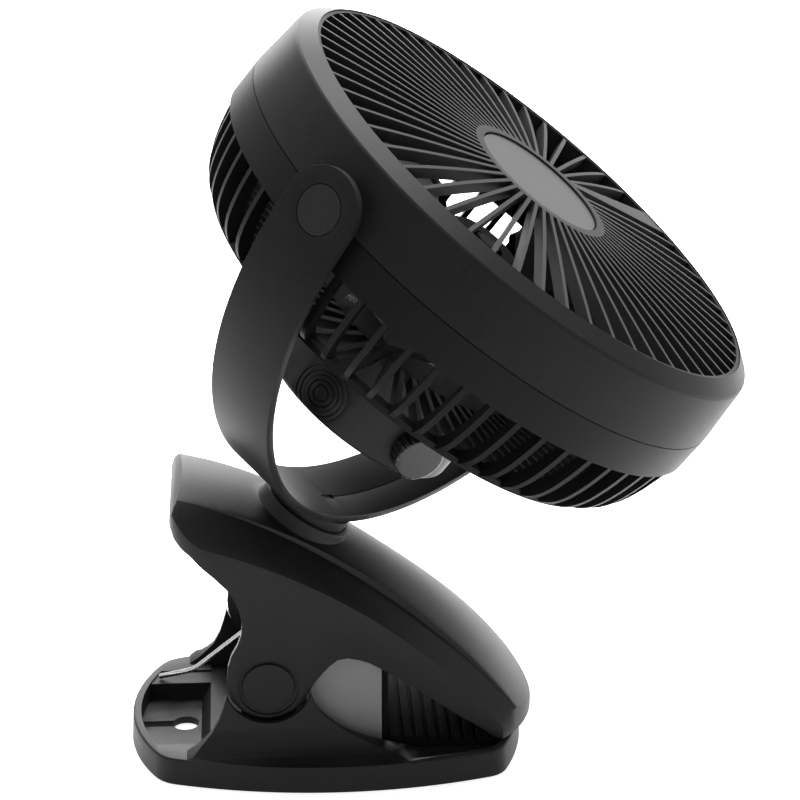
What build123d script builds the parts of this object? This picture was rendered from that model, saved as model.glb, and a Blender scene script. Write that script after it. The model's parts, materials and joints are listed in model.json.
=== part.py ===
from build123d import *
import os
from math import cos, dist, radians, sin

# Clip fan. Millimetres, +Z up, origin at the centre of the flat underside of the base.
# X runs from the handle end (-) to the clamping nose (+).

# Pose of the swivel and of the fan head
SWIVEL_AT = Vector(-4.7, 0, 82.0)
SWIVEL_LEAN = 32.9
SWIVEL_TURN = -41.8
HEAD_TILT = 6.7
DRUM_RADIUS = 92.0

# Clearances shared by the fits
RUNNING = 0.05
SLIP = 0.15
GAP = 0.3
WALL = 2.2

# Base
BASE_RIM = 9.0
BASE_DRAFT = 3.0
DECK = 6.5
DECK_UNDER = 4.2
TRAY_FLOOR = 2.5
TRAY_END = -38.5
TRAY_HALF = 25.5
TRAY_RAMP = 3.5
TRAY_LEDGE = 17.5
PLATFORM_TOP = 8.0
RIM_WALL = 3.1
SOLE_THICK = 2.0
SIDE_IN = 30.35
SIDE_OUT = 32.2
FLARE_OUT = 44.0
FLARE_TOP = 17.5
SIDE_TOP = 32.0
HANDLE_ARC = (-64.9, 60.3)
NOSE_ARC = (65.6, 77.7)
SIDE_ARC = (3.5, 44.3, 177.0)
CORNER_HANDLE = 12.0
CORNER_NOSE = 9.0
LEFT_SLOPE = [(-47, 6), (-45.9, 9.2), (-43, 11.2), (-40.3, 13.7), (-37.6, 16.6),
              (-35.3, 20.9), (-33.9, 25.2), (-32.7, 29.6)]
RIGHT_SLOPE = [(-5.4, 29.6), (-4.4, 26.4), (-2.8, 23.5), (-0.3, 20.8), (3.6, 17.4),
               (8.5, 14.6), (13.4, 12.6), (19.9, 10.6), (26.4, 8.9), (33, 6.8), (34, 6)]
KEYHOLE_AT = -47.0
KEYHOLE_RADIUS = 4.5
KEYHOLE_SLOT = (-61.0, 3.8)

# Clamp hinge
PIVOT_X, PIVOT_Z = -19.05, 31.1
SADDLE_BOTTOM = 19.4
LUG_IN, LUG_OUT = 22.5, 26.0
LUG_RADIUS = 9.0
AXLE_RADIUS = 3.0
AXLE_HALF = 28.6
CAP_RADIUS = 8.45
CAP_RECESS = 9.9
CAP_DEPTH = 1.0
SLEEVE_RADIUS = 4.0

# Torsion spring
WIRE = 1.8
COIL_RADIUS = 5.2
COIL_FROM, COIL_TO = 10.0, -4.4
COIL_LEAVE = 130.0
COIL_TURNS = 5 + 310 / 360
GAP_STEP = 0.12
FOOT_BEND = (-44.2, 16.0, 14.3)
FOOT_END = (-56.0, 21.0, 9.4)
UPPER_ARM_TOP = 72.0

# Throat between the jaws
THROAT_HALF = 27.0
THROAT_SIDE = [(-6, DECK), (-6, 34), (-1, 44), (9, 44.5), (17.9, 38.5), (17.9, DECK)]
THROAT_PAD = (18.0, 19.9, 36.5)
LOWER_PAD = [(20.2, DECK), (20.2, 11.0), (57, 9.2), (57, DECK)]
LOWER_PAD_HALF = 28.0

# Upper jaw
JAW_HALF = 30.0
HOOD_ANCHOR = (12.26, 56.5)
HOOD_SLOPE = 56.0
CREASE_RADIUS = 193.6
HOOD_CENTRE = (HOOD_ANCHOR[0] - CREASE_RADIUS * cos(radians(HOOD_SLOPE)),
               HOOD_ANCHOR[1] - CREASE_RADIUS * sin(radians(HOOD_SLOPE)))
CROWN_RISE = 2.3
HOOD_DEEP = 100.0
# Stations of the hood: length along the crease from its anchor, rise of the ridge above the
# crease, crown half width, step beside the crown
HOOD_STATIONS = [(87.9, 10.3, 19.7, 0.0), (54.1, 10.0, 19.4, 0.6), (27.0, 8.8, 18.6, 1.6),
                 (0.0, 7.3, 18.0, 2.2), (-27.0, 6.9, 20.2, 1.9), (-50.7, 6.7, 23.0, 0.9),
                 (-77.7, 6.2, 25.2, 0.0)]
JAW_LOWER = [(72, 9.35), (57.2, 9.7), (54.9, 10.5), (49.9, 14.4), (43.3, 18.7), (36.6, 23.7),
             (30.1, 28.4), (23.5, 33), (17, 37.2), (13.8, 39.1), (10.5, 40.3), (6.6, 41.1),
             (3.4, 40.5), (0.8, 38.4), (-1.5, 35.9), (-4.2, 32.4), (-5.8, 29.2), (-7.8, 25.9),
             (-10.8, 23.1), (-14.7, 21.0), (-19.7, 20.1), (-23.9, 20.9), (-27.7, 22.9),
             (-30.9, 26.7), (-32.1, 30.4), (-32.4, 34), (-31.9, 39.1), (-30.7, 43), (-28.6, 46.8),
             (-27.4, 50.5), (-27.1, 54), (-27.6, 58.3), (-28.8, 61.9), (-31.6, 66.6),
             (-35.6, 70.9), (-40.2, 75.3)]
JAW_END = [(-43.0, 78.3), (-45.8, 80.1), (-48.0, 82.3), (-49.6, 85.6), (-49.4, 88.6),
           (-47.8, 92.0), (-45.2, 96)]
JAW_NOSE = (25.3, 44.0)
JAW_CORNER = 12.0
PAD_LINE = [(62, 9.7), (57.2, 9.9), (54.9, 10.5), (49.9, 14.4), (36.6, 23.7), (22, 34)]
PAD_HALF = 27.4
PAD_LIFT, PAD_THICK, WEB_THICK = 0.9, 2.6, 2.2
BOSS_RADIUS = 13.95
BOSS_TOP = -1.7
BOSS_SOCKET = BOSS_RADIUS + 0.45
BOSS_RIM = (15.7, 0.0)
BOSS_FLARE = [(21.8, -9.8), (17.7, -6.2), (16.1, -2.6)]
BOSS_CORE = 8.0
BOSS_DEPTH = 12.0
ARM_RIB = (-23.3, -21.3, 60.0)

# Yoke
ARM_OUT = DRUM_RADIUS + 6.7
STRAP = 2.6
STRAP_HALF = 12.95
U_DROP = 4.3
TILT_HEIGHT = ARM_OUT + U_DROP + 3.4
PAD_RADIUS = 10.5
ARM_PAD = ARM_OUT - 3.8
BUSH_END = ARM_PAD - GAP
BUSH_RADIUS = 9.0
PIVOT_CAP_RADIUS = 7.35
PIVOT_CAP_THICK = 1.2
CAP_POCKET = 2.4
CAP_SKIRT = 1.2
TILT_SHAFT = 3.0
TILT_HEAD = 4.2
BOLT_RADIUS = 3.0
BOLT_HEAD = (7.0, 1.8)
WASHER = (8.0, 1.2)
NOTCH_AT = (2.5, -2.85)
NUT_HEIGHT = 5.0
NUT_RADIUS = 5.8

# Fan head, radius and height above the tilt axis along the fan axis
def inside_drum(*points):
    """(radius, height) points from (depth inside the drum's outer radius, height) pairs."""
    return [(DRUM_RADIUS - depth, height) for depth, height in points]


RING_CREASE = (1.9, 19.2)
RING_SIDE = inside_drum((0, 0), RING_CREASE, (7.3, 23.0), (7.3, 20.7), (3.9, 18.0), (2.2, 0))
RIM_BAND = inside_drum((8.6, 22.6), (7.4, 22.6), (7.4, 17.2), (4.0, 17.2), (4.0, 15.6), (8.6, 15.6))
REAR_RING = inside_drum((0, -12.0), (0, -GAP), (2.7, -GAP), (2.7, 4.0), (4.2, 4.0), (4.4, -12.0))
BARS = 58
FIRST_BAR = 188.8
BAR_WIDTH = 1.3
BAR_TOP = [(25.2, 26.5), (45.0, 25.6), (65.0, 24.3)] + inside_drum((8.0, 22.5))
BAR_DEPTH = 4.0
HUB_RING = (22.8, 25.8, 22.5, 26.5)
HUB_PLATE = 24.0
BADGE = (22.5, 25.9)
WEDGE = [(25.0, 3.4), (DRUM_RADIUS - 8.2, -5.8), (DRUM_RADIUS - 8.2, 1.3), (25.0, 8.5)]
WEDGE_SIDE = [(24.0, 24.0), (24.0, 26.6)] + inside_drum((7.6, 22.8), (7.6, 20.0))
WEDGE_BARS = (27, 28)
RIB_WIDTH = 1.9
RIB_OUTER = inside_drum((0.8, -11.0), (2.0, -18.0), (3.9, -25.5), (7.1, -32.6), (12.0, -37.0))
RIB_FOOT = [(38.0, -40.5), (38.0, -37.2)]
RIB_INNER = inside_drum((15.0, -34.0), (11.0, -30.5), (7.6, -23.5), (4.2, -11.0))
REAR_BAND = inside_drum((19.0, -38.3), (12.0, -37.6), (12.0, -35.6), (19.0, -36.3))
HUB_FLOOR = (39.5, -39.0, -37.0)
FLOOR_BORE = 12.0
BOARD_POSTS = (20.0, 2.0, -43.0)

# Rear housing and its controls
HOUSING = (37.0, -39.0, -69.0)
HOUSING_EDGE = 1.6
SCREW_RING, FIRST_SCREW = 30.5, 45
SCREW_BOSS = 3.2
SCREW_RADIUS = 1.5
SCREW_HEAD = (2.7, 1.6)
KNOB_AT = (247.0, -58.5)
KNOB = (8.2, 37.3, 42.6)
KNOB_STEM = (3.0, 30.0)
BUTTON_AT = (191.5, -61.5)
BUTTON_RADIUS = 5.6
BUTTON_RIPPLES = (7.0, 8.6)
RIPPLE = 0.5
BUTTON_FROM, BUTTON_TRAVEL = 33.6, 0.8
SOCKET_AT = (20.0, -53.0)
SOCKET = (9.4, 3.8)
BOARD = (25.5, 1.6)

# Motor and impeller
MOTOR = (18.0, -35.4, -9.0)
BRACKET = (21.0, 1.6)
SHAFT_RADIUS = 2.0
SHAFT_ENDS = (-34.0, -0.3)
BEARING = (5.0, 3.0)
CUP = (25.0, 22.5, -26.0, 0.0)
CUP_FRONT = 2.6
CUP_FACE = 12.0
CUP_SLOPE = 8.0
NUT_POCKET = (6.0, 2.2)
BLADES = 5
BLADE_TIP = DRUM_RADIUS - 10
FIRST_BLADE = 65
BLADE_SECTIONS = [(23.5, 28.0, 44.0, 2.6, 0.0), (50.0, 42.0, 34.0, 2.2, 5.0),
                  (BLADE_TIP + 1, 54.0, 25.0, 1.8, 12.0)]
BLADE_MID = -9.0

AXIS_AT_ZERO = Vector(0, 0, 0)
SWIVEL_AXIS = Vector(sin(radians(SWIVEL_LEAN)), 0, cos(radians(SWIVEL_LEAN)))
TILT_AXIS = Vector(0, 1, 0).rotate(Axis(AXIS_AT_ZERO, SWIVEL_AXIS), SWIVEL_TURN)
FAN_AXIS = SWIVEL_AXIS.rotate(Axis(AXIS_AT_ZERO, TILT_AXIS), HEAD_TILT)
TILT_AT = SWIVEL_AT + SWIVEL_AXIS * TILT_HEIGHT
BOSS = Plane(origin=SWIVEL_AT, x_dir=TILT_AXIS, z_dir=SWIVEL_AXIS)
YOKE = Plane(origin=TILT_AT, x_dir=TILT_AXIS, z_dir=SWIVEL_AXIS)
HEAD = Plane(origin=TILT_AT, x_dir=TILT_AXIS, z_dir=FAN_AXIS)
PIVOT = Plane(origin=(PIVOT_X, 0, PIVOT_Z), x_dir=(1, 0, 0), z_dir=(0, -1, 0))


# ---- small shapes
def polygon(points):
    return make_face(Polyline(*points, close=True))


def turned(points):
    """Solid of revolution about Z from (radius, height) points."""
    return revolve(Plane.XZ * polygon(points), Axis.Z)


def rod(radius, low, high):
    return Pos(0, 0, (low + high) / 2) * Cylinder(radius, high - low)


def tube(radius, bore, low, high):
    return rod(radius, low, high) - rod(bore, low - 1, high + 1)


def hexagon(radius, low, high):
    return Pos(0, 0, low) * extrude(RegularPolygon(radius, 6), high - low)


def block(x, y, z):
    """Box from three (low, high) pairs."""
    size = [high - low for low, high in (x, y, z)]
    middle = [(low + high) / 2 for low, high in (x, y, z)]
    return Pos(*middle) * Box(*size)


def side_prism(points, half):
    """Prism along Y from (x, z) points."""
    return extrude(Plane.XZ * polygon(points), half, both=True)


def at_pivot(shape):
    return PIVOT.location * shape


def outward(azimuth, height, reach=0.0):
    """Plane on the housing facing radially outward, X along the rim."""
    along = Vector(cos(radians(azimuth)), sin(radians(azimuth)), 0)
    rim = Vector(-along.Y, along.X, 0)
    return Plane(origin=along * reach + Vector(0, 0, height), x_dir=rim, z_dir=along)


def around(shape, count, first=0.0):
    return [Rot(0, 0, first + k * 360 / count) * shape for k in range(count)]


# ---- base
def plan_face(inset=0.0):
    handle_x, handle_r = HANDLE_ARC
    nose_x, nose_r = NOSE_ARC
    side_x, side_y, side_r = SIDE_ARC
    handle_cx = handle_x + handle_r
    face = Pos(handle_cx, 0) * Circle(handle_r - inset)
    face = face + Pos(handle_cx + 50, 0) * Rectangle(100, 160)
    face = face & Pos(nose_x - nose_r, 0) * Circle(nose_r - inset)
    for sign in (1, -1):
        face = face & Pos(side_x, sign * (side_y - side_r)) * Circle(side_r - inset)
    face = fillet(face.vertices().filter_by(lambda v: v.X < -40), CORNER_HANDLE - inset)
    return fillet(face.vertices().filter_by(lambda v: v.X > 50 and abs(v.Y) > 20),
                  CORNER_NOSE - inset)


def plan_prism(inset, low, high):
    return Pos(0, 0, low) * extrude(plan_face(inset), high - low)


def saddle_outline():
    arc = ThreePointArc(LEFT_SLOPE[-1], (PIVOT_X, SADDLE_BOTTOM), RIGHT_SLOPE[0])
    edges = [Polyline(*LEFT_SLOPE), arc, Polyline(*RIGHT_SLOPE),
             Line(RIGHT_SLOPE[-1], LEFT_SLOPE[0])]
    return make_face(edges)


def side_walls():
    low = LEFT_SLOPE[0][1]
    flare = ThreePointArc((FLARE_OUT, BASE_RIM), (35.4, 12.0), (SIDE_OUT, FLARE_TOP))
    edges = [Polyline((SIDE_OUT, FLARE_TOP), (SIDE_OUT, SIDE_TOP), (SIDE_IN, SIDE_TOP),
                      (SIDE_IN, low), (FLARE_OUT, low), (FLARE_OUT, BASE_RIM)), flare]
    wall = extrude(Plane.YZ * make_face(edges), 60, both=True)
    wall = wall & extrude(Plane.XZ * saddle_outline(), 60, both=True)
    wall = wall & plan_prism(0.5, 0, SIDE_TOP)
    return wall + mirror(wall, Plane.XZ)


def pivot_lugs():
    foot = side_prism([(-29, DECK), (-27.5, PIVOT_Z), (-10.6, PIVOT_Z), (-9, DECK)], LUG_OUT)
    lug = foot + at_pivot(Cylinder(LUG_RADIUS, 2 * LUG_OUT))
    lug = lug - block((-40, 0), (-LUG_IN, LUG_IN), (PLATFORM_TOP, 60))
    return lug - at_pivot(Cylinder(AXLE_RADIUS, 80))


def keyhole():
    end, width = KEYHOLE_SLOT
    slot = block((end, KEYHOLE_AT), (-width / 2, width / 2), (-1, 5))
    return Pos(KEYHOLE_AT, 0, 2) * Cylinder(KEYHOLE_RADIUS, 6) + slot + \
        Pos(end, 0, 2) * Cylinder(width / 2, 6)


def tray_steps():
    """Ramp up to the platform and the ledge under the foot of the spring."""
    ramp = [(TRAY_END - TRAY_RAMP, TRAY_FLOOR - 0.5), (TRAY_END + 0.5, TRAY_FLOOR - 0.5),
            (TRAY_END + 0.5, PLATFORM_TOP), (TRAY_END, PLATFORM_TOP)]
    ledge = block((-59, TRAY_END), (TRAY_LEDGE, TRAY_HALF + 0.5),
                  (TRAY_FLOOR - 0.5, FOOT_END[2] - WIRE / 2 - SLIP))
    return side_prism(ramp, TRAY_HALF + 0.5) + ledge


def base_shell():
    shell = extrude(plan_face(), BASE_RIM, taper=BASE_DRAFT)
    shell = fillet(shell.faces().sort_by(Axis.Z)[-1].edges(), 0.8)
    right = block((TRAY_END, 90), (-60, 60), (DECK, 40))
    left = block((-90, TRAY_END), (-TRAY_HALF, TRAY_HALF), (TRAY_FLOOR, 40))
    shell = shell - (plan_prism(RIM_WALL, 0, 40) & (right + left))
    shell = shell + side_walls()
    shell = shell + block((TRAY_END, THROAT_SIDE[0][0]), (-SIDE_IN, SIDE_IN), (DECK, PLATFORM_TOP))
    shell = shell - (plan_prism(RIM_WALL, -1, DECK_UNDER) & block((-36, 90), (-60, 60), (-1, 5)))
    ribs = [block((-36, 62), (y - 1, y + 1), (SOLE_THICK, DECK)) for y in (-16, 16)]
    ribs += [block((x - 1, x + 1), (-38, 38), (SOLE_THICK, DECK)) for x in (-12, 14, 40)]
    shell = shell + ribs
    shell = shell + tray_steps()
    return shell + pivot_lugs() - keyhole()


def base_sole():
    return plan_prism(RIM_WALL + SLIP, 0, SOLE_THICK) & \
        block((-36 + SLIP, 90), (-60, 60), (-1, 5))


def throat_block():
    return side_prism(THROAT_SIDE, THROAT_HALF)


def throat_pad():
    low, high, top = THROAT_PAD
    return block((low, high), (-THROAT_HALF, THROAT_HALF), (DECK, top))


def lower_grip_pad():
    pad = side_prism(LOWER_PAD, LOWER_PAD_HALF)
    for k in range(7):
        pad = pad - block((24 + 4 * k, 25 + 4 * k), (-40, 40), (9.6 - 0.2 * k, 20))
    return pad


def clamp_axle():
    return at_pivot(chamfer(Cylinder(AXLE_RADIUS, 2 * AXLE_HALF).edges(), 0.4))


def spring_sleeve():
    return at_pivot(tube(SLEEVE_RADIUS, AXLE_RADIUS + RUNNING, -LUG_IN + SLIP, LUG_IN - SLIP))


# ---- torsion spring
def biarc(p0, t0, p1, t1):
    """Two circular arcs joining two points along given directions."""
    v, t = p1 - p0, t0 + t1
    k = 2 * (1 - t0.dot(t1))
    root = (v.dot(t) ** 2 + k * v.dot(v)) ** 0.5
    d = (root - v.dot(t)) / k if k > 1e-9 else v.dot(v) / (4 * v.dot(t1))
    middle = (p0 + p1 + (t0 - t1) * d) * 0.5
    first = TangentArc(p0, middle, tangent=t0)
    return [first, TangentArc(middle, p1, tangent=first % 1)]


def coil_frame(turn):
    """Point and travelling direction on the coil after a number of turns."""
    angle = radians(COIL_LEAVE - 360 * turn)
    drift = (COIL_TO - COIL_FROM) / COIL_TURNS
    point = Vector(PIVOT_X + COIL_RADIUS * cos(angle), COIL_FROM + drift * turn,
                   PIVOT_Z + COIL_RADIUS * sin(angle))
    travel = Vector(sin(angle), drift / (2 * 3.141592653589793 * COIL_RADIUS), -cos(angle))
    return point, travel.normalized()


def spring_path():
    start, bend = Vector(*FOOT_END), Vector(*FOOT_BEND)
    coil_in, into = coil_frame(0)
    foot = (bend - start).normalized()
    shank_from, shank_to = bend + (coil_in - bend) * 0.12, bend + (coil_in - bend) * 0.7
    shank = (coil_in - bend).normalized()
    foot_to = bend - foot * 3.5
    path = [Line(start, foot_to)] + biarc(foot_to, foot, shank_from, shank)
    path += [Line(shank_from, shank_to)] + biarc(shank_to, shank, coil_in, into)
    steps = 24
    marks = [coil_frame(COIL_TURNS * k / steps) for k in range(steps + 1)]
    for (p0, t0), (p1, t1) in zip(marks, marks[1:]):
        path += biarc(p0, t0, p1, t1)
    last, travel = marks[-1]
    rise_from = Vector(last.X, last.Y - 0.6, last.Z + 9)
    up = Vector(0, 0, 1)
    path += biarc(last, travel, rise_from, up)
    return path + [Line(rise_from, Vector(rise_from.X, rise_from.Y, UPPER_ARM_TOP))]


def torsion_spring():
    path = Wire(spring_path())
    start = Plane(origin=path @ 0, z_dir=path % 0)
    return sweep(start * Circle(WIRE / 2), path)


def spring_gap():
    """Least gap of the wire to itself, and the points along its path that it is measured on."""
    points, travelled = [], 0.0
    for edge in spring_path():
        count = max(4, int(edge.length / GAP_STEP))
        points += [(travelled + edge.length * k / count, tuple(edge @ (k / count)))
                   for k in range(count)]
        travelled += edge.length
    apart = min(dist(here, there) for k, (far, here) in enumerate(points)
                for near, there in points[:k] if far - near > 3 * WIRE)
    return apart - WIRE, len(points)



# ---- upper jaw
def station_plane(along):
    """Section plane through the hood axis, local Y pointing away from the axis."""
    turn = radians(HOOD_SLOPE) + along / CREASE_RADIUS
    return Plane(origin=(HOOD_CENTRE[0], 0, HOOD_CENTRE[1]), x_dir=(0, 1, 0),
                 z_dir=(sin(turn), 0, -cos(turn)))


def hood_section(station, inset):
    along, rise, half, step = station
    side, crease = JAW_HALF - inset, CREASE_RADIUS - inset
    top, shoulder = crease + rise - step, half + 0.5 * step - 0.6 * inset
    middle = ((side + shoulder) / 2 + 0.3, (crease + top) / 2 + 0.3)
    right = ThreePointArc((side, crease), middle, (shoulder, top))
    left = ThreePointArc((-shoulder, top), (-middle[0], middle[1]), (-side, crease))
    low = crease - HOOD_DEEP
    edges = [Line((side, low), (side, crease)), right, Line((shoulder, top), (-shoulder, top)),
             left, Line((-side, crease), (-side, low)), Line((-side, low), (side, low))]
    return station_plane(along) * make_face(edges)


def crown_section(station, inset):
    along, rise, half, _ = station
    half, ridge = half - inset, CREASE_RADIUS + rise - inset
    low = CREASE_RADIUS - HOOD_DEEP / 2
    arc = ThreePointArc((-half, ridge), (0, ridge + CROWN_RISE), (half, ridge))
    sides = Polyline((half, ridge), (half, low), (-half, low), (-half, ridge))
    return station_plane(along) * make_face([arc, sides])


def hood(inset=0.0):
    """Solid under the hood, crown panel included."""
    shapes = [loft([section(station, inset) for station in HOOD_STATIONS])
              for section in (hood_section, crown_section)]
    return shapes[0] + shapes[1]


def jaw_plan(inset=0.0):
    centre, radius = JAW_NOSE
    handle = JAW_END[3][0] + inset
    half = JAW_HALF - inset
    body = RectangleRounded(2 * (centre - handle), 2 * half, JAW_CORNER - inset)
    nose = Pos(centre, 0) * Circle(radius - inset) & Pos(centre + 50, 0) * Rectangle(140, 2 * half)
    face = Pos(centre, 0) * body & Pos(centre - 50, 0) * Rectangle(100, 200)
    return Pos(0, 0, -20) * extrude(face + nose, 150)


def jaw_outer():
    outline = JAW_LOWER + JAW_END + [(-45.2, 130), (90, 130), (90, 9.35)]
    return hood() & side_prism(outline, 40) & jaw_plan()


def jaw_hollow():
    end = [(x + WALL, z) for x, z in JAW_END]
    end[-1] = (end[-1][0] - 0.6, end[-1][1])
    outline = [(100, -20), (-70, -20), (-70, 58), (-42.4, 78.8)] + end[1:]
    outline += [(end[-1][0], 130), (100, 130)]
    return hood(WALL) & side_prism(outline, 40) & jaw_plan(WALL)


def jaw_strip(low, high, half):
    """Strip following the mouth line of the jaw between its side plates."""
    under = [(x, z + low) for x, z in PAD_LINE]
    over = [(x, z + high) for x, z in reversed(PAD_LINE)]
    return side_prism(under + over, half) & jaw_plan(WALL + SLIP)


def swivel_boss(hollow):
    flare = ThreePointArc(*BOSS_FLARE)
    foot = BOSS_FLARE[0]
    edges = [Polyline(BOSS_FLARE[-1], BOSS_RIM, (BOSS_SOCKET, BOSS_RIM[1]), (BOSS_SOCKET, BOSS_TOP),
                      (0, BOSS_TOP), (0, -16), (foot[0], -16), foot), flare]
    skirt = BOSS.location * revolve(Plane.XZ * make_face(edges), Axis.Z)
    skirt = skirt & side_prism([(-60, 20), (80, 20), (80, 120), (-60, 120)], JAW_HALF)
    return skirt - hollow + BOSS.location * rod(BOSS_CORE, -BOSS_DEPTH, BOSS_TOP - 0.5)


def jaw_shell():
    outer, hollow = jaw_outer(), jaw_hollow()
    shell = outer - BOSS.location * rod(BOSS_SOCKET, BOSS_TOP, 12)
    shell = shell - hollow + swivel_boss(hollow)
    web_low = PAD_LIFT + PAD_THICK
    shell = shell + (jaw_strip(web_low, web_low + WEB_THICK, JAW_HALF) & outer)
    left, right, foot = ARM_RIB
    shell = shell + (block((left, right), (-JAW_HALF, JAW_HALF), (foot, 110)) & outer)
    for sign in (1, -1):
        ear = Pos(0, 0, sign * (LUG_OUT + GAP + JAW_HALF - 1.2) / 2)
        shell = shell + at_pivot(ear * Cylinder(7, JAW_HALF - 1.2 - LUG_OUT - GAP))
        recess = Pos(0, 0, sign * (JAW_HALF + 2 - CAP_DEPTH))
        shell = shell - at_pivot(recess * Cylinder(CAP_RECESS, 4))
    shell = shell - at_pivot(Cylinder(AXLE_RADIUS + RUNNING, 80))
    return shell - BOSS.location * rod(BOLT_RADIUS + RUNNING, -20, 5)


def upper_grip_pad():
    return jaw_strip(PAD_LIFT, PAD_LIFT + PAD_THICK, PAD_HALF)


def clamp_cap(sign):
    floor = JAW_HALF - CAP_DEPTH
    cap = rod(CAP_RADIUS, floor, JAW_HALF - 0.1)
    cap = fillet(cap.edges().group_by(Axis.Z)[-1], 0.4)
    return at_pivot(cap if sign < 0 else Rot(180, 0, 0) * cap)


# ---- yoke
def u_solid(radius, half):
    """Upright slot shape: half disc below the tilt axis with straight arms above."""
    disc = Pos(0, 0, -U_DROP) * Rot(90, 0, 0) * Cylinder(radius, 2 * half)
    return disc + block((-radius, radius), (-half, half), (-U_DROP, 40))


def yoke_strap():
    strap = u_solid(ARM_OUT, STRAP_HALF) - u_solid(ARM_OUT - STRAP, STRAP_HALF + 5)
    limit = Rot(0, 90, 0) * Cylinder(STRAP_HALF, 300)
    limit = limit + block((-150, 150), (-STRAP_HALF, STRAP_HALF), (-150, 0))
    strap = strap & limit
    pads = [Rot(0, side, 0) * rod(PAD_RADIUS, ARM_PAD, ARM_OUT - 0.5) for side in (90, -90)]
    notch = Pos(*NOTCH_AT, STRAP - U_DROP - ARM_OUT) * Box(6.0, 2.0, 0.8)
    seam = Pos(0, NOTCH_AT[1]) * u_solid(ARM_OUT - STRAP + 0.3, 0.25)
    seam = seam & block((NOTCH_AT[0], 75), (-20, 20), (-150, 0))
    strap = strap + pads - notch - seam
    for side in (90, -90):
        strap = strap - Rot(0, side, 0) * rod(PIVOT_CAP_RADIUS + 0.25, ARM_OUT - CAP_POCKET, ARM_OUT + 10)
        strap = strap - Rot(0, side, 0) * rod(TILT_SHAFT + RUNNING, ARM_PAD - 5, ARM_OUT + 10)
    return YOKE.location * strap


def strap_foot():
    """Height of the lowest outer line of the strap."""
    return -U_DROP - ARM_OUT


def swivel_collar():
    head, thick = BOLT_HEAD
    collar = tube(BOSS_RADIUS, BOLT_RADIUS, -TILT_HEIGHT + BOSS_TOP + GAP, strap_foot() + 5)
    collar = collar - rod(head, strap_foot() - thick, strap_foot() + 10)
    collar = collar - Pos(0, 0, -U_DROP) * Rot(90, 0, 0) * Cylinder(ARM_OUT, 60)
    return YOKE.location * collar


def swivel_washer():
    top = -TILT_HEIGHT - BOSS_DEPTH - GAP
    return YOKE.location * tube(WASHER[0], BOLT_RADIUS, top - WASHER[1], top)


def swivel_bolt():
    head, thick = BOLT_HEAD
    end = -TILT_HEIGHT - BOSS_DEPTH - GAP - WASHER[1] - NUT_HEIGHT - 1.5
    bolt = rod(head, strap_foot() - thick, strap_foot() + 5)
    bolt = bolt + rod(BOLT_RADIUS, end, strap_foot() - 1)
    return YOKE.location * (bolt - Pos(0, 0, -U_DROP) * Rot(90, 0, 0) * Cylinder(ARM_OUT, 60))


def swivel_nut():
    top = -TILT_HEIGHT - BOSS_DEPTH - GAP - WASHER[1]
    nut = hexagon(NUT_RADIUS, top - NUT_HEIGHT, top)
    return YOKE.location * (nut - rod(BOLT_RADIUS, top - 20, top + 5))


def pivot_cap(side):
    cap = rod(PIVOT_CAP_RADIUS, ARM_OUT - PIVOT_CAP_THICK, ARM_OUT)
    skirt = tube(PIVOT_CAP_RADIUS, PIVOT_CAP_RADIUS - CAP_SKIRT, ARM_OUT - CAP_POCKET,
                 ARM_OUT - PIVOT_CAP_THICK + 0.2)
    cap = fillet(cap.edges().group_by(Axis.Z)[-1], 0.3) + skirt
    return YOKE.location * Rot(0, side, 0) * cap


# ---- fan head: screws and bushes of the tilt joint
def tilt_bush(side):
    bush = Rot(0, side, 0) * tube(BUSH_RADIUS, TILT_SHAFT, DRUM_RADIUS - 6, BUSH_END)
    crease, height = RING_SIDE[1]
    drum = turned([(0, -20), (DRUM_RADIUS, -20), (DRUM_RADIUS, 0), (crease, height), (0, height)])
    return HEAD.location * (bush - drum)


def tilt_screw(side):
    seat = ARM_OUT - CAP_POCKET + RUNNING
    screw = rod(TILT_SHAFT, DRUM_RADIUS - 7.8, seat + 0.3) + rod(TILT_HEAD, seat, seat + 0.9)
    return HEAD.location * Rot(0, side, 0) * screw


def tilt_nut(side):
    nut = hexagon(5.2, DRUM_RADIUS - 6.8, DRUM_RADIUS - 4.5) - rod(TILT_SHAFT, 60, 120)
    return HEAD.location * Rot(0, side, 0) * nut


def tilt_bores():
    return Rot(0, 90, 0) * Cylinder(TILT_SHAFT, 3 * DRUM_RADIUS)


# ---- fan head: rings and grilles
def front_ring():
    ring = turned(RING_SIDE)
    crease = ring.edges().filter_by(GeomType.CIRCLE)
    crease = [e for e in crease if abs(e.radius - RING_SIDE[1][0]) < 0.01]
    return HEAD.location * (fillet(crease, 1.5) - tilt_bores())


def slab_face():
    """Radial section of the front grille between its domed faces."""
    under = [(r, z - BAR_DEPTH) for r, z in reversed(BAR_TOP)]
    return make_face([Spline(*BAR_TOP), Line(BAR_TOP[-1], under[0]), Spline(*under),
                      Line(under[-1], BAR_TOP[0])])


def wedge_spoke():
    corners = [(r * cos(radians(a)), r * sin(radians(a))) for r, a in WEDGE]
    return Pos(0, 0, 10) * extrude(polygon(corners), 30) & side_prism(WEDGE_SIDE, 20)


def front_grille():
    inner, outer, low, high = HUB_RING
    hub = tube(outer, inner, low, high) + rod(inner + 0.1, low, HUB_PLATE)
    bar = extrude(Plane.XZ * slab_face(), BAR_WIDTH / 2, both=True)
    bars = [b for k, b in enumerate(around(bar, BARS, FIRST_BAR)) if k not in WEDGE_BARS]
    return HEAD.location * (hub + turned(RIM_BAND) + bars + wedge_spoke())


def hub_badge():
    radius, top = BADGE
    badge = fillet(rod(radius, HUB_PLATE, top).edges().group_by(Axis.Z)[-1], 0.5)
    return HEAD.location * badge


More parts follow.
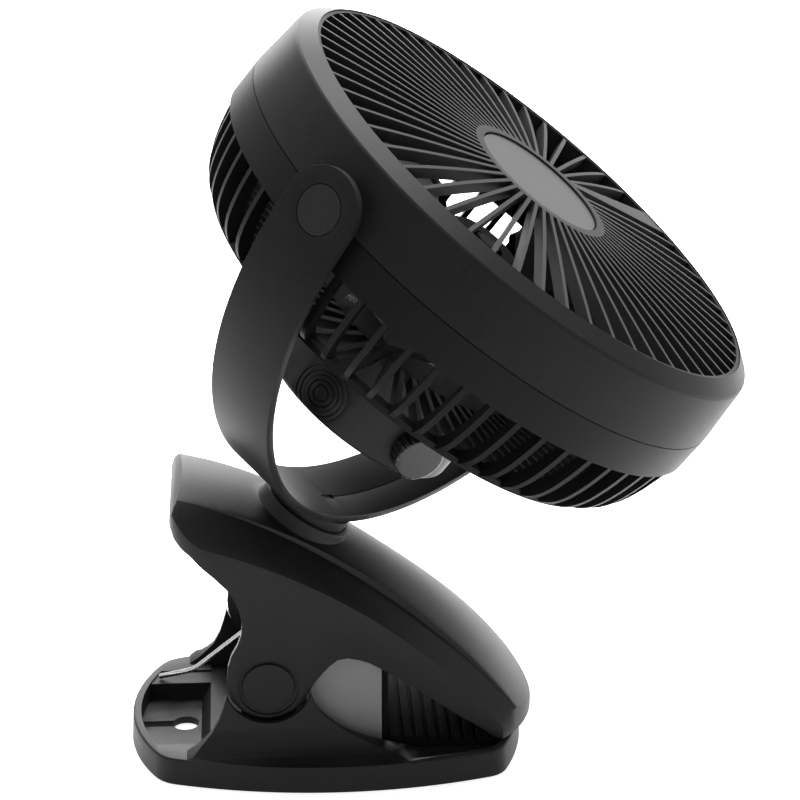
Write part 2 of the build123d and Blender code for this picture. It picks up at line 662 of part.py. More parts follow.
def rear_grille():
    rest = Polyline(RIB_OUTER[-1], *RIB_FOOT, *RIB_INNER, RIB_OUTER[0])
    face = make_face([Spline(*RIB_OUTER), rest])
    rib = extrude(Plane.XZ * face, RIB_WIDTH / 2, both=True)
    radius, low, high = HUB_FLOOR
    post_ring, post, post_end = BOARD_POSTS
    floor = tube(radius, FLOOR_BORE, low, high)
    floor = floor + tube(radius, HOUSING[0] + SLIP, low - 1.5, high)
    posts = [Rot(0, 0, 60 + 120 * k) * Pos(post_ring, 0) * rod(post, post_end, low + 0.2)
             for k in range(3)]
    grille = turned(REAR_RING) + turned(REAR_BAND) + floor + posts
    grille = grille + around(rib, BARS, FIRST_BAR)
    holes = around(Pos(SCREW_RING, 0) * rod(SCREW_RADIUS, low - 2, high + 1), 3, FIRST_SCREW)
    for hole in holes:
        grille = grille - hole
    return HEAD.location * (grille - tilt_bores())


# ---- rear housing and controls
def rear_housing():
    radius, front, rear = HOUSING
    cup = fillet(rod(radius, rear, front).edges().group_by(Axis.Z)[0], HOUSING_EDGE)
    cup = cup - rod(radius - WALL, rear + WALL, front + 5)
    boss = rod(SCREW_BOSS, front - 14, front)
    stay = block((0, radius - SCREW_RING - 1.4), (-1, 1), (front - 14, front))
    cup = cup + around(Pos(SCREW_RING, 0) * (boss + stay), 3, FIRST_SCREW)
    hole = Pos(SCREW_RING, 0) * rod(SCREW_RADIUS, front - 12, front + 5)
    for bore in around(hole, 3, FIRST_SCREW):
        cup = cup - bore
    cup = cup - outward(*KNOB_AT).location * rod(KNOB_STEM[0] + RUNNING, 30, 40)
    cup = cup - outward(*BUTTON_AT).location * rod(BUTTON_RADIUS + SLIP, 30, 40)
    for ripple in BUTTON_RIPPLES:
        groove = outward(*BUTTON_AT).location * tube(ripple + RIPPLE, ripple, 25, 40)
        cup = cup - (groove - rod(radius - RIPPLE, -80, -30))
    width, height = SOCKET
    opening = block((-width / 2, width / 2), (-height / 2, height / 2), (28, 40))
    return HEAD.location * (cup - outward(*SOCKET_AT).location * opening)


def housing_screws():
    radius, low, high = HUB_FLOOR
    head, thick = SCREW_HEAD
    screw = rod(SCREW_RADIUS, HOUSING[1] - 10, high + 0.2) + rod(head, high, high + thick)
    return HEAD.location * Compound(around(Pos(SCREW_RING, 0) * screw, 3, FIRST_SCREW))


def speed_knob():
    radius, low, high = KNOB
    cap = fillet(rod(radius, low, high).edges().group_by(Axis.Z)[-1], 1.2)
    grips = around(Pos(radius + 0.35, 0) * rod(0.8, low - 1, high + 1), 24)
    for grip in grips:
        cap = cap - grip
    stem = rod(KNOB_STEM[0], KNOB_STEM[1], low + 0.2)
    return HEAD.location * outward(*KNOB_AT).location * (cap + stem)


def speed_control():
    seat = control_back()
    body = block((-6.5, 6.5), (-7, seat - KNOB_AT[1]), (25, 32))
    body = body - rod(KNOB_STEM[0] + RUNNING, KNOB_STEM[1] - SLIP, 40)
    return HEAD.location * outward(*KNOB_AT).location * body


def mode_button():
    housing, _, _ = HOUSING
    plane = outward(*BUTTON_AT)
    cap = rod(BUTTON_RADIUS, BUTTON_FROM, 40)
    cap = plane.location * cap & rod(housing + 0.25, -80, -30)
    for ripple in (2.2, 4.0):
        groove = plane.location * tube(ripple + RIPPLE, ripple, 30, 40)
        cap = cap - (groove - rod(housing - RIPPLE, -80, -30))
    flange = rod(BUTTON_RADIUS + 1.1, 31.6, 32.7) + rod(BUTTON_RADIUS - 0.5, 32.2, 34.2)
    flange = plane.location * flange & rod(housing, HOUSING[2] + WALL + GAP, -40)
    return HEAD.location * (cap + flange)


def button_switch():
    seat = control_back()
    body = block((-5, 5), (-5, seat - BUTTON_AT[1]), (26, 31.6 - BUTTON_TRAVEL - SLIP))
    return HEAD.location * outward(*BUTTON_AT).location * body


def control_back():
    return BOARD_POSTS[2] - BOARD[1]


def control_board():
    radius, thick = BOARD
    top = BOARD_POSTS[2]
    return HEAD.location * rod(radius, top - thick, top)


def power_socket():
    half, rise = SOCKET[0] / 2 - SLIP, SOCKET[1] / 2 - SLIP
    skin = 0.45
    shell = block((-half, half), (-rise, rise), (28, 35.2))
    shell = shell - block((skin - half, half - skin), (skin - rise, rise - skin), (29, 40))
    leg = block((-half, half), (-rise, control_back() - SOCKET_AT[1]), (23, 28.2))
    tongue = block((-2.8, 2.8), (-0.4, 0.4), (28.5, 34))
    return HEAD.location * outward(*SOCKET_AT).location * (shell + leg + tongue)


# ---- motor and rotor
def motor_can():
    radius, low, high = MOTOR
    can = rod(radius, low, high)
    can = fillet(can.edges().group_by(Axis.Z)[-1], 1.5) - rod(radius - 1.2, low - 1, high - 1.5)
    return HEAD.location * (can - rod(BEARING[0], high - 5, high + 1))


def motor_magnets():
    radius, low, high = MOTOR
    return HEAD.location * tube(radius - 1.2, radius - 5, low + 4, high - 3)


def motor_bracket():
    radius, thick = BRACKET
    low = HUB_FLOOR[2]
    plate = tube(radius, BEARING[0], low, low + thick)
    return HEAD.location * plate


def front_bearing():
    radius, width = BEARING
    high = MOTOR[2] + 0.4
    return HEAD.location * tube(radius, SHAFT_RADIUS + RUNNING, high - width, high)


def rear_bearing():
    radius, width = BEARING
    low = HUB_FLOOR[2]
    return HEAD.location * tube(radius, SHAFT_RADIUS + RUNNING, low, low + width)


def armature():
    radius, low, high = MOTOR
    return HEAD.location * tube(radius - 5.6, SHAFT_RADIUS, low + 5, high - 4)


def motor_shaft():
    return HEAD.location * rod(SHAFT_RADIUS, *SHAFT_ENDS)


def blade():
    sections = []
    for radius, chord, pitch, thick, sweep_by in BLADE_SECTIONS:
        lean = Vector(0, cos(radians(pitch)), sin(radians(pitch)))
        plane = Plane(origin=(radius, 0, BLADE_MID), x_dir=lean, z_dir=(1, 0, 0))
        sections.append(Rot(0, 0, sweep_by) * plane.location * SlotOverall(chord, thick))
    return loft(sections)


def impeller():
    outer, inner, low, high = CUP
    pocket, deep = NUT_POCKET
    edge = high - CUP_SLOPE
    cup = turned([(0, high), (CUP_FACE, high), (outer, edge), (outer, low), (inner, low),
                  (inner, edge - 1.5), (CUP_FACE - 0.5, high - CUP_FRONT), (0, high - CUP_FRONT)])
    cup = cup + rod(BEARING[0], MOTOR[2] + 1, high - 1) - rod(pocket, high - deep, high + 1)
    blades = [b & rod(BLADE_TIP, -40, 30) for b in around(blade(), BLADES, FIRST_BLADE)]
    blades = [b - rod(outer - 1, -60, 60) for b in blades]
    return HEAD.location * (cup + blades - rod(SHAFT_RADIUS, -60, 60))


def rotor_nut():
    low = CUP[3] - NUT_POCKET[1]
    nut = hexagon(4.6, low, low + 2.8)
    return HEAD.location * (nut - rod(SHAFT_RADIUS, low - 1, SHAFT_ENDS[1]))


NODES = {
    "base_shell": base_shell, "base_sole": base_sole, "throat_block": throat_block,
    "throat_pad": throat_pad, "lower_grip_pad": lower_grip_pad, "clamp_axle": clamp_axle,
    "spring_sleeve": spring_sleeve, "torsion_spring": torsion_spring,
    "jaw_shell": jaw_shell, "upper_grip_pad": upper_grip_pad,
    "clamp_cap_near": lambda: clamp_cap(-1), "clamp_cap_far": lambda: clamp_cap(1),
    "yoke_strap": yoke_strap, "swivel_collar": swivel_collar, "swivel_bolt": swivel_bolt,
    "swivel_washer": swivel_washer, "swivel_nut": swivel_nut,
    "pivot_cap_near": lambda: pivot_cap(-90), "pivot_cap_far": lambda: pivot_cap(90),
    "front_ring": front_ring, "front_grille": front_grille, "hub_badge": hub_badge,
    "rear_grille": rear_grille, "rear_housing": rear_housing, "housing_screws": housing_screws,
    "tilt_bush_near": lambda: tilt_bush(-90), "tilt_bush_far": lambda: tilt_bush(90),
    "tilt_screw_near": lambda: tilt_screw(-90), "tilt_screw_far": lambda: tilt_screw(90),
    "tilt_nut_near": lambda: tilt_nut(-90), "tilt_nut_far": lambda: tilt_nut(90),
    "speed_knob": speed_knob, "speed_control": speed_control, "mode_button": mode_button,
    "button_switch": button_switch, "control_board": control_board,
    "power_socket": power_socket, "motor_can": motor_can, "motor_magnets": motor_magnets,
    "motor_bracket": motor_bracket, "front_bearing": front_bearing,
    "rear_bearing": rear_bearing, "armature": armature, "motor_shaft": motor_shaft,
    "impeller": impeller, "rotor_nut": rotor_nut,
}


def main():
    os.makedirs("parts", exist_ok=True)
    for name, make in NODES.items():
        export_step(make(), f"parts/{name}.step")
    gap, points = spring_gap()
    print(f"torsion_spring: least gap to itself {gap:.3f} mm, on {points} points")


if __name__ == "__main__":
    main()
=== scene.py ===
"""Clip fan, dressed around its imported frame. Laid out as an add-on and run as a script."""

import json
import math

import bpy
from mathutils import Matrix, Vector


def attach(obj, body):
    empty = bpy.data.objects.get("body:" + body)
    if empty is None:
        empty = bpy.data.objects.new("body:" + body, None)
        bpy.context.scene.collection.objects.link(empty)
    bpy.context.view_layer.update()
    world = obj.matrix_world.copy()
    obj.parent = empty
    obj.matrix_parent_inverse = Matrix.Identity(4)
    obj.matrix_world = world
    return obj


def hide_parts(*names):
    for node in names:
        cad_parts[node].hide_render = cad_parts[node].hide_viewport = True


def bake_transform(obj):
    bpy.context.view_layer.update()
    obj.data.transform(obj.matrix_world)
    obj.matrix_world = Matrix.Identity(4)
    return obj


bl_info = {
    "name": "Clip fan",
    "version": (1, 0, 0),
    "blender": (4, 5, 0),
    "location": "3D View > Sidebar > Clip Fan",
    "description": "Finishes and soft edges of a desk clip fan",
    "category": "Object",
}

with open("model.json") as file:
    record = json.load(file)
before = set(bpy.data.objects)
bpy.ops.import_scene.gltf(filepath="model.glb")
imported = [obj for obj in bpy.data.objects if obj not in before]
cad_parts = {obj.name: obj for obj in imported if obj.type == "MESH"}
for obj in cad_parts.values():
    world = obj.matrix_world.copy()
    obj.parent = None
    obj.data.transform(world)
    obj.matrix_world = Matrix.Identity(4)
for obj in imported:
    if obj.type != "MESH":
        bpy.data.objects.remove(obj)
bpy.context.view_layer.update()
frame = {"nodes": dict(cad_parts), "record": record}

# Photograph's viewpoint, in metres and degrees, and its lens in millimetres
VIEW_TARGET = (0.0254, 0.0, 0.1185)
VIEW_DISTANCE = 0.83845
VIEW_AZIMUTH = -3.46
VIEW_ELEVATION = 22.12
VIEW_LENS = 117.0
VIEW_SENSOR = 36.0
VIEW_REACH = 20.0

# Floor, in metres: its width, and its height just under the sole
FLOOR_WIDTH = 8.0
FLOOR_HEIGHT = -0.0003

# Softboxes: place in metres, setting that holds the power, width in metres
SOFTBOXES = {
    "softbox high": ((0.3, 0.4, 1.25), "key_light", 0.9),
    "softbox back": ((-0.1, 1.3, 0.6), "back_light", 0.9),
    "softbox left": ((-1.0, 0.2, 0.9), "left_light", 0.8),
    "softbox right": ((1.2, -0.8, 0.9), "side_light", 0.8),
}
SOFTBOX_AIM = (0.03, 0, 0.12)

# Mesh tidying, in metres and radians
MERGE_WITHIN = 0.000004
FLAT_BELOW = math.radians(0.4)
SHARP_ABOVE = math.radians(32)
SMOOTH_BELOW = math.radians(35)
EDGE_SEGMENTS = 3

# Nodes with rounded edges, each with its share of the edge rounding
CLAMP_EDGES = {
    "base_shell": 1.0, "jaw_shell": 1.4, "throat_block": 1.0, "throat_pad": 0.6,
    "lower_grip_pad": 0.5,
}
CAP_EDGES = {"clamp_cap_near": 0.4, "clamp_cap_far": 0.4}
YOKE_EDGES = {"yoke_strap": 1.0, "swivel_collar": 0.7}
HEAD_EDGES = {"rear_housing": 0.5, "mode_button": 0.4, "speed_knob": 0.4}


# ---- shader maths
class Value:
    """A shader output that works in Python expressions."""

    def __init__(self, graph, socket):
        self.graph, self.socket = graph, socket

    def _math(self, operation, *values):
        return self.graph.node("ShaderNodeMath", {"operation": operation}, *values)

    def __add__(self, other):
        return self._math("ADD", self, other)

    def __radd__(self, other):
        return self._math("ADD", other, self)

    def __sub__(self, other):
        return self._math("SUBTRACT", self, other)

    def __mul__(self, other):
        return self._math("MULTIPLY", self, other)

    def swing(self, reach):
        """A noise around one half becomes a change around zero."""
        return (self - 0.5) * reach

    def step(self, low, high):
        """0 below low, 1 above high, smooth between."""
        return self.graph.node("ShaderNodeMapRange", {"interpolation_type": "SMOOTHSTEP"},
                               self, low, high, 0.0, 1.0)


class Graph:
    """The node tree of one material, with its surface shader."""

    def __init__(self, name):
        self.material = bpy.data.materials.new(name)
        self.material.use_nodes = True
        self.tree = self.material.node_tree
        self.shader = self.tree.nodes["Principled BSDF"]

    def feed(self, socket, value):
        """Links a shader output to a socket, or sets the socket to a constant."""
        if isinstance(value, Value):
            self.tree.links.new(value.socket, socket)
        else:
            socket.default_value = value

    def node(self, kind, settings=None, *values, out=0, at=None, **named):
        """Adds a node, sets it up, and feeds its sockets in order, by name or by number."""
        made = self.tree.nodes.new(kind)
        for key, value in (settings or {}).items():
            setattr(made, key, value)
        for socket, value in zip(made.inputs, values):
            self.feed(socket, value)
        for key, value in {**named, **(at or {})}.items():
            self.feed(made.inputs[key], value)
        return Value(self, made.outputs[out])

    def place(self):
        return self.node("ShaderNodeTexCoord", out="Object")

    def noise(self, scale, detail, rough):
        return self.node("ShaderNodeTexNoise", Vector=self.place(), Scale=scale,
                         Detail=detail, Roughness=rough)

    def cells(self, scale):
        return self.node("ShaderNodeTexVoronoi", Vector=self.place(), Scale=scale)

    def mix(self, mask, first, second):
        """Colour that goes from first to second with mask."""
        return self.node("ShaderNodeMix", {"data_type": "RGBA"}, out=2,
                         at={0: mask, 6: first, 7: second})

    def bump(self, height, depth):
        return self.node("ShaderNodeBump", Height=height, Distance=depth, Strength=1.0)

    def surface(self, **named):
        for key, value in named.items():
            self.feed(self.shader.inputs[key.replace("_", " ")], value)
        return self.material


def tone(grey):
    return (grey, grey, grey, 1.0)


# ---- finishes: scales are in cells a metre, depths in metres
MOULD_FLOW = {"scale": 38.0, "detail": 3.0, "rough": 0.55}
MOULD_SPECK = {"scale": 900.0, "detail": 1.0, "rough": 0.4}
MOULD_PATCH = 0.12
MOULD_SPECK_SHARE = 0.35
MOULD_FLOW_GLOSS, MOULD_FINE_GLOSS = 0.10, 0.12


def moulded(name, shade, rough, shine, grain=2600.0, depth=0.00002, dust=1.7):
    """Satin moulded plastic: fine spark grain, faint flow patches and a broken gloss."""
    g = Graph(name)
    flow, fine = g.noise(**MOULD_FLOW), g.noise(scale=grain, detail=2.0, rough=0.6)
    speck = g.noise(**MOULD_SPECK).step(0.62, 0.72)
    colour = g.mix(flow.step(0.3, 0.7), tone(shade * (1 - MOULD_PATCH)),
                   tone(shade * (1 + MOULD_PATCH)))
    colour = g.mix(speck * MOULD_SPECK_SHARE, colour, tone(shade * dust))
    gloss = rough + flow.swing(MOULD_FLOW_GLOSS) + fine.swing(MOULD_FINE_GLOSS)
    return g.surface(Base_Color=colour, Roughness=gloss, Specular_IOR_Level=shine,
                     Normal=g.bump(fine, depth))


POLISH_HAZE = {"scale": 55.0, "detail": 3.0, "rough": 0.6}
POLISH_FINE = {"scale": 1500.0, "detail": 2.0, "rough": 0.5}
POLISH_DARK, POLISH_LIGHT = 0.93, 1.06
POLISH_HAZE_GLOSS, POLISH_FINE_GLOSS = 0.06, 0.05
POLISH_DEPTH = 0.000006


def polished(name, shade, rough, shine, lacquer=0.0):
    """Smooth glossy part with faint handling haze."""
    g = Graph(name)
    haze, fine = g.noise(**POLISH_HAZE), g.noise(**POLISH_FINE)
    colour = g.mix(haze.step(0.35, 0.7), tone(shade * POLISH_DARK), tone(shade * POLISH_LIGHT))
    gloss = rough + haze.step(0.45, 0.8) * POLISH_HAZE_GLOSS + fine.swing(POLISH_FINE_GLOSS)
    return g.surface(Base_Color=colour, Roughness=gloss, Specular_IOR_Level=shine,
                     Coat_Weight=lacquer, Normal=g.bump(fine, POLISH_DEPTH))


METAL_STRETCH = (9.0, 9.0, 1.0)
METAL_STREAK = {"Scale": 240.0, "Detail": 2.0}
METAL_DULL = {"scale": 120.0, "detail": 2.0, "rough": 0.5}
METAL_DARK = 0.82
METAL_STREAK_GLOSS, METAL_DULL_GLOSS = 0.16, 0.08
METAL_DEPTH = 0.000002


def drawn_metal(name, colour, rough):
    """Drawn or plated metal with fine streaks and dull spots."""
    g = Graph(name)
    drawn = g.node("ShaderNodeMapping", Vector=g.place(), Scale=METAL_STRETCH)
    streak = g.node("ShaderNodeTexNoise", Vector=drawn, **METAL_STREAK)
    dull = g.noise(**METAL_DULL)
    dark = tuple(c * METAL_DARK for c in colour)
    shade = g.mix(streak.step(0.3, 0.7), dark + (1.0,), colour + (1.0,))
    gloss = rough + streak.swing(METAL_STREAK_GLOSS) + dull.step(0.5, 0.8) * METAL_DULL_GLOSS
    return g.surface(Base_Color=shade, Roughness=gloss, Metallic=1.0,
                     Normal=g.bump(streak, METAL_DEPTH))


RUBBER_FINE = {"scale": 1900.0, "detail": 3.0, "rough": 0.7}
RUBBER_WEAR = {"scale": 70.0, "detail": 3.0, "rough": 0.6}
RUBBER_WORN = 1.5
RUBBER_ROUGH, RUBBER_SHINE = 0.72, 0.06
RUBBER_GLOSS = 0.2
RUBBER_DEPTH = 0.00006


def soft_rubber(name, shade):
    """Matt rubber that is a little paler where it is worn."""
    g = Graph(name)
    fine, wear = g.noise(**RUBBER_FINE), g.noise(**RUBBER_WEAR)
    colour = g.mix(wear.step(0.4, 0.75), tone(shade), tone(shade * RUBBER_WORN))
    return g.surface(Base_Color=colour, Roughness=RUBBER_ROUGH + wear.swing(RUBBER_GLOSS),
                     Specular_IOR_Level=RUBBER_SHINE, Normal=g.bump(fine, RUBBER_DEPTH))


BOARD_CELLS = 420.0
BOARD_TRACK, BOARD_MASK = (0.01, 0.16, 0.05, 1), (0.004, 0.08, 0.03, 1)
BOARD_ROUGH, BOARD_GLOSS = 0.35, 0.12


def solder_mask(name):
    """Green lacquer with the tracks under it showing paler."""
    g = Graph(name)
    mask = g.cells(BOARD_CELLS).step(0.18, 0.3)
    return g.surface(Base_Color=g.mix(mask, BOARD_TRACK, BOARD_MASK),
                     Roughness=BOARD_ROUGH + mask * BOARD_GLOSS)


def make_finishes(sizes):
    """Every finish of the fan, by name."""
    shade, rough, shine = sizes.body_shade, sizes.body_rough, sizes.body_shine
    return {
        "shell": moulded("satin shell", shade, rough, shine),
        "drum": moulded("satin drum", shade * 1.1, rough, shine * 0.5),
        "bars": moulded("grille bars", sizes.bar_shade, rough, 0.2, depth=0.00001),
        # painted shade: the rear ribs get a darker grey than the shell so that the inside seen
        # between them reads as shade
        "shaded_ribs": moulded("rear ribs", shade * 0.4, rough, 0.08),
        "throat": moulded("grained throat", sizes.throat_shade, 0.5, 0.4, grain=1800.0,
                          dust=1.1),
        "cap": moulded("grained cap", shade * 1.2, rough + 0.08, shine, grain=1500.0,
                       depth=0.00005),
        # painted shade: the impeller and the inner parts get a darker grey than the shell to
        # stand for the shade inside the head
        "shaded_blade": moulded("blade plastic", shade * 0.3, 0.5, 0.06),
        "shaded_inside": moulded("inner plastic", shade * 0.4, 0.6, 0.06),
        "knob": polished("gloss knob", sizes.knob_shade, 0.2, 0.3, lacquer=0.2),
        "badge": polished("satin badge", sizes.badge_shade, 0.34, 0.3),
        "rubber": soft_rubber("grip rubber", 0.004),
        "wire": drawn_metal("spring wire", (0.42, 0.41, 0.40), 0.26),
        "plated": drawn_metal("plated steel", (0.66, 0.66, 0.65), 0.22),
        "can": drawn_metal("motor can", (0.45, 0.45, 0.44), 0.36),
        "copper": drawn_metal("copper winding", (0.62, 0.27, 0.11), 0.34),
        "magnet": moulded("sintered magnet", 0.05, 0.6, 0.2, grain=1400.0, depth=0.00004),
        "board": solder_mask("board mask"),
    }


FINISH_OF = {
    "base_shell": "shell", "base_sole": "rubber", "throat_block": "throat",
    "throat_pad": "rubber", "lower_grip_pad": "rubber", "clamp_axle": "plated",
    "spring_sleeve": "cap", "torsion_spring": "wire", "jaw_shell": "shell",
    "upper_grip_pad": "rubber", "clamp_cap_near": "cap", "clamp_cap_far": "cap",
    "yoke_strap": "drum", "swivel_collar": "cap", "swivel_bolt": "plated",
    "swivel_washer": "plated", "swivel_nut": "plated", "pivot_cap_near": "cap",
    "pivot_cap_far": "cap", "front_ring": "drum", "front_grille": "bars",
    "hub_badge": "badge", "rear_grille": "shaded_ribs", "rear_housing": "shell",
    "housing_screws": "plated", "tilt_bush_near": "cap", "tilt_bush_far": "cap",
    "tilt_screw_near": "plated", "tilt_screw_far": "plated", "tilt_nut_near": "plated",
    "tilt_nut_far": "plated", "speed_knob": "knob", "speed_control": "shaded_inside",
    "mode_button": "shell", "button_switch": "shaded_inside", "control_board": "board",
    "power_socket": "can", "motor_can": "can", "motor_magnets": "magnet",
    "motor_bracket": "can", "front_bearing": "plated", "rear_bearing": "plated",
    "armature": "copper", "motor_shaft": "plated", "impeller": "shaded_blade", "rotor_nut": "cap",
}
BODY_OF = {node: body for body, nodes in frame["record"]["behaviour"]["bodies"].items()
           for node in nodes}
finishes = {}


# ---- modelling helpers
def coat(piece, name):
    piece.data.materials.clear()
    piece.data.materials.append(finishes[name])


def copied(node):
    """Copy of a CAD node with its doubles merged, selected and active."""
    piece = bpy.data.objects.new(f"{node}_soft", frame["nodes"][node].data.copy())
    bpy.context.scene.collection.objects.link(piece)
    bpy.ops.object.select_all(action="DESELECT")
    piece.select_set(True)
    bpy.context.view_layer.objects.active = piece
    bpy.ops.object.mode_set(mode="EDIT")
    bpy.ops.mesh.select_all(action="SELECT")
    bpy.ops.mesh.remove_doubles(threshold=MERGE_WITHIN)
    bpy.ops.object.mode_set(mode="OBJECT")
    return piece


def stand_in(piece, node):
    """Shows the finished piece instead of its CAD node, with the same finish."""
    bpy.ops.object.shade_smooth_by_angle(angle=SMOOTH_BELOW)
    coat(piece, FINISH_OF[node])
    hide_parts(node)


def softened(node, width):
    """Stand-in for a CAD node with its sharp edges rounded off."""
    piece = copied(node)
    bpy.ops.object.mode_set(mode="EDIT")
    bpy.ops.mesh.dissolve_limited(angle_limit=FLAT_BELOW)
    bpy.ops.object.mode_set(mode="OBJECT")
    edge = piece.modifiers.new("edge", "BEVEL")
    edge.width, edge.segments = width, EDGE_SEGMENTS
    edge.limit_method, edge.angle_limit = "ANGLE", SHARP_ABOVE
    bpy.ops.object.modifier_apply(modifier="edge")
    stand_in(piece, node)
    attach(piece, BODY_OF[node])


def soften_all(shares, sizes):
    for node, share in shares.items():
        softened(node, sizes.edge_round * share)


def wound_spring():
    """Stand-in for the spring, with its doubles merged and smooth shading."""
    spring = copied("torsion_spring")
    stand_in(spring, "torsion_spring")
    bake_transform(spring)


# ---- settings
class ClipFanSizes(bpy.types.PropertyGroup):
    body_shade: bpy.props.FloatProperty(
        name="Body shade", description="Grey level of the black satin shells",
        default=0.012, min=0.0, max=1.0)
    body_shine: bpy.props.FloatProperty(
        name="Body shine", description="Specular level of the satin shells",
        default=0.15, min=0.0, max=1.0)
    bar_shade: bpy.props.FloatProperty(
        name="Bar shade", description="Grey level of the front grille",
        default=0.011, min=0.0, max=1.0)
    body_rough: bpy.props.FloatProperty(
        name="Body roughness", description="Roughness of the satin shells",
        default=0.42, min=0.0, max=1.0)
    throat_shade: bpy.props.FloatProperty(
        name="Throat shade", description="Grey level of the throat block",
        default=0.24, min=0.0, max=1.0)
    knob_shade: bpy.props.FloatProperty(
        name="Knob shade", description="Grey level of the glossy speed knob",
        default=0.015, min=0.0, max=1.0)
    badge_shade: bpy.props.FloatProperty(
        name="Badge shade", description="Grey level of the bare badge",
        default=0.045, min=0.0, max=1.0)
    edge_round: bpy.props.FloatProperty(
        name="Edge rounding", description="Rounding of the moulded edges",
        default=0.0005, min=0.0, subtype="DISTANCE", unit="LENGTH")
    floor_lift: bpy.props.FloatProperty(
        name="Floor lift", description="Glow added to the floor so that it reads as white paper",
        default=0.8, min=0.0)
    fill_light: bpy.props.FloatProperty(
        name="Fill light", description="Strength of the white surroundings",
        default=0.28, min=0.0)
    key_light: bpy.props.FloatProperty(
        name="Key light", description="Power of the softbox high above and behind the fan",
        default=40.0, min=0.0, unit="POWER")
    back_light: bpy.props.FloatProperty(
        name="Back light", description="Power of the softbox low behind the fan",
        default=15.0, min=0.0, unit="POWER")
    left_light: bpy.props.FloatProperty(
        name="Left light", description="Power of the softbox on the left",
        default=1.2, min=0.0, unit="POWER")
    side_light: bpy.props.FloatProperty(
        name="Side light", description="Power of the softbox in front on the right",
        default=0.9, min=0.0, unit="POWER")


class Dress:
    """What every piece operator shares."""

    bl_options = {"REGISTER", "UNDO"}

    def execute(self, context):
        self.build(context.scene.clip_fan)
        return {"FINISHED"}


class CLIPFAN_OT_finishes(Dress, bpy.types.Operator):
    """Makes the finishes and lays them on every node"""

    bl_idname = "clip_fan.finishes"
    bl_label = "Finishes"

    def build(self, sizes):
        finishes.update(make_finishes(sizes))
        for node, piece in frame["nodes"].items():
            coat(piece, FINISH_OF[node])


class CLIPFAN_OT_clamp(Dress, bpy.types.Operator):
    """Rounds the edges of the base, the upper jaw and their inserts, and makes a stand-in for
    the spring
    """

    bl_idname = "clip_fan.clamp"
    bl_label = "Clamp"

    def build(self, sizes):
        soften_all(CLAMP_EDGES, sizes)
        wound_spring()
        soften_all(CAP_EDGES, sizes)


class CLIPFAN_OT_yoke(Dress, bpy.types.Operator):
    """Rounds the edges of the half-ring yoke and its collar"""

    bl_idname = "clip_fan.yoke"
    bl_label = "Yoke"

    def build(self, sizes):
        soften_all(YOKE_EDGES, sizes)


class CLIPFAN_OT_head(Dress, bpy.types.Operator):
    """Rounds the edges of the rear housing and its controls"""

    bl_idname = "clip_fan.head"
    bl_label = "Head"

    def build(self, sizes):
        soften_all(HEAD_EDGES, sizes)


class CLIPFAN_OT_stage(Dress, bpy.types.Operator):
    """Pale floor, plain soft lamps, white surroundings and the camera"""

    bl_idname = "clip_fan.stage"
    bl_label = "Stage"

    def build(self, sizes):
        make_floor(sizes)
        make_world(sizes)
        make_lamps(sizes)
        make_camera()


# ---- stage
def lift_for_camera(tree, plain, glowing, output):
    """Shows the glowing shader to rays that reach the camera straight, by mirror or through."""
    path = tree.nodes.new("ShaderNodeLightPath")
    seen = path.outputs["Is Camera Ray"]
    for kind in ("Is Glossy Ray", "Is Transmission Ray"):
        either = tree.nodes.new("ShaderNodeMath")
        either.operation = "MAXIMUM"
        tree.links.new(seen, either.inputs[0])
        tree.links.new(path.outputs[kind], either.inputs[1])
        seen = either.outputs[0]
    choice = tree.nodes.new("ShaderNodeMixShader")
    for source, socket in zip((seen, plain, glowing), choice.inputs):
        tree.links.new(source, socket)
    tree.links.new(choice.outputs[0], output.inputs["Surface"])


def make_floor(sizes):
    """White paper that keeps the shadow of the fan and fades into the white behind."""
    bpy.ops.object.select_all(action="DESELECT")
    bpy.ops.mesh.primitive_plane_add(size=FLOOR_WIDTH, location=(0, 0, FLOOR_HEIGHT))
    floor = bpy.context.object
    floor.name = "studio_floor"
    g = Graph("floor paper")
    fibre = g.noise(scale=300.0, detail=3.0, rough=0.6)
    g.surface(Base_Color=g.mix(fibre, tone(0.86), tone(0.9)), Roughness=0.9)
    glow, both = g.tree.nodes.new("ShaderNodeEmission"), g.tree.nodes.new("ShaderNodeAddShader")
    glow.inputs["Strength"].default_value = sizes.floor_lift
    g.tree.links.new(g.shader.outputs[0], both.inputs[0])
    g.tree.links.new(glow.outputs[0], both.inputs[1])
    lift_for_camera(g.tree, g.shader.outputs[0], both.outputs[0],
                    g.tree.nodes["Material Output"])
    floor.data.materials.append(g.material)


def make_world(sizes):
    """Surroundings that light the fan softly and look pure white."""
    world = bpy.data.worlds.new("studio")
    bpy.context.scene.world = world
    world.use_nodes = True
    tree = world.node_tree
    tree.nodes.clear()
    output = tree.nodes.new("ShaderNodeOutputWorld")
    fill, white = (tree.nodes.new("ShaderNodeBackground") for _ in range(2))
    for shader, strength in ((fill, sizes.fill_light), (white, 1.0)):
        shader.inputs["Strength"].default_value = strength
        shader.inputs["Color"].default_value = tone(1)
    lift_for_camera(tree, fill.outputs[0], white.outputs[0], output)


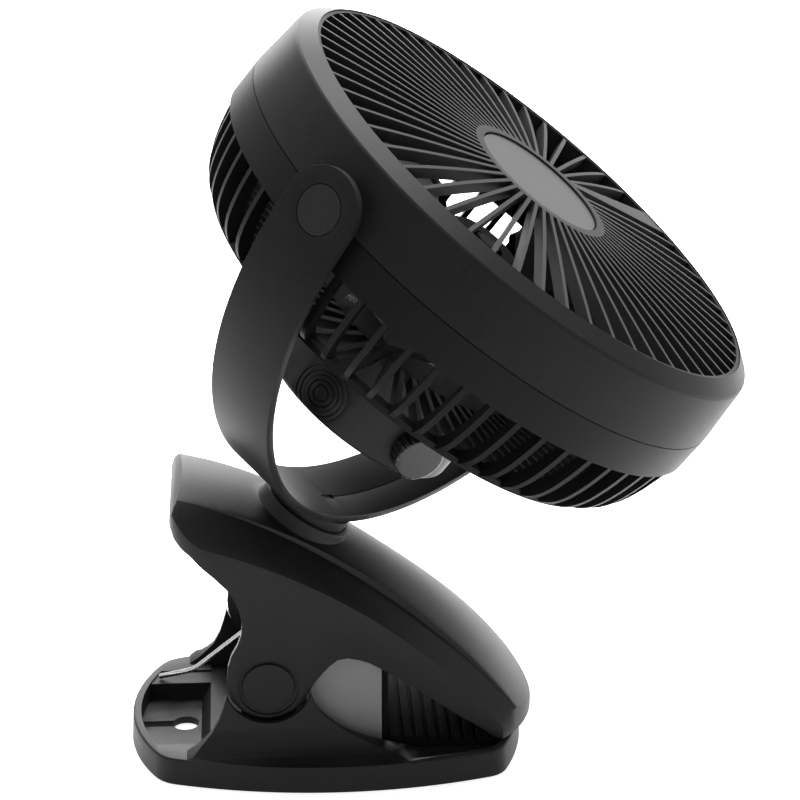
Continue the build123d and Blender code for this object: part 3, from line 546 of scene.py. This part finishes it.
def make_lamps(sizes):
    """Four plain softboxes: high, low behind, on the left, and in front on the right."""
    for name, (place, power, width) in SOFTBOXES.items():
        data = bpy.data.lights.new(name, "AREA")
        data.energy, data.shape, data.size = getattr(sizes, power), "SQUARE", width
        lamp = bpy.data.objects.new(name, data)
        lamp.location = place
        aim = Vector(SOFTBOX_AIM) - Vector(place)
        lamp.rotation_euler = aim.to_track_quat("-Z", "Y").to_euler()
        bpy.context.scene.collection.objects.link(lamp)


def make_camera():
    """Camera at the photograph's viewpoint."""
    azimuth, rise = math.radians(VIEW_AZIMUTH), math.radians(VIEW_ELEVATION)
    away = Vector((math.sin(azimuth) * math.cos(rise), -math.cos(azimuth) * math.cos(rise),
                   math.sin(rise)))
    data = bpy.data.cameras.new("photo view")
    data.lens, data.sensor_width, data.clip_end = VIEW_LENS, VIEW_SENSOR, VIEW_REACH
    camera = bpy.data.objects.new("photo view", data)
    camera.location = Vector(VIEW_TARGET) + away * VIEW_DISTANCE
    camera.rotation_euler = (-away).to_track_quat("-Z", "Y").to_euler()
    bpy.context.scene.collection.objects.link(camera)
    bpy.context.scene.camera = camera


# ---- add-on
class CLIPFAN_PT_panel(bpy.types.Panel):
    bl_label = "Clip Fan"
    bl_idname = "CLIPFAN_PT_panel"
    bl_space_type = "VIEW_3D"
    bl_region_type = "UI"
    bl_category = "Clip Fan"

    def draw(self, context):
        sizes = context.scene.clip_fan
        for name in sizes.bl_rna.properties.keys():
            if name not in ("rna_type", "name"):
                self.layout.prop(sizes, name)
        for step in STEPS:
            self.layout.operator(step.bl_idname)


STEPS = (CLIPFAN_OT_finishes, CLIPFAN_OT_clamp, CLIPFAN_OT_yoke, CLIPFAN_OT_head,
         CLIPFAN_OT_stage)
CLASSES = (ClipFanSizes,) + STEPS + (CLIPFAN_PT_panel,)


def register():
    for cls in CLASSES:
        bpy.utils.register_class(cls)
    bpy.types.Scene.clip_fan = bpy.props.PointerProperty(type=ClipFanSizes)


def unregister():
    del bpy.types.Scene.clip_fan
    for cls in reversed(CLASSES):
        bpy.utils.unregister_class(cls)


def main():
    register()
    bpy.context.scene.view_settings.view_transform = "Standard"
    for step in STEPS:
        area, name = step.bl_idname.split(".")
        getattr(getattr(bpy.ops, area), name)()


if __name__ == "__main__":
    main()
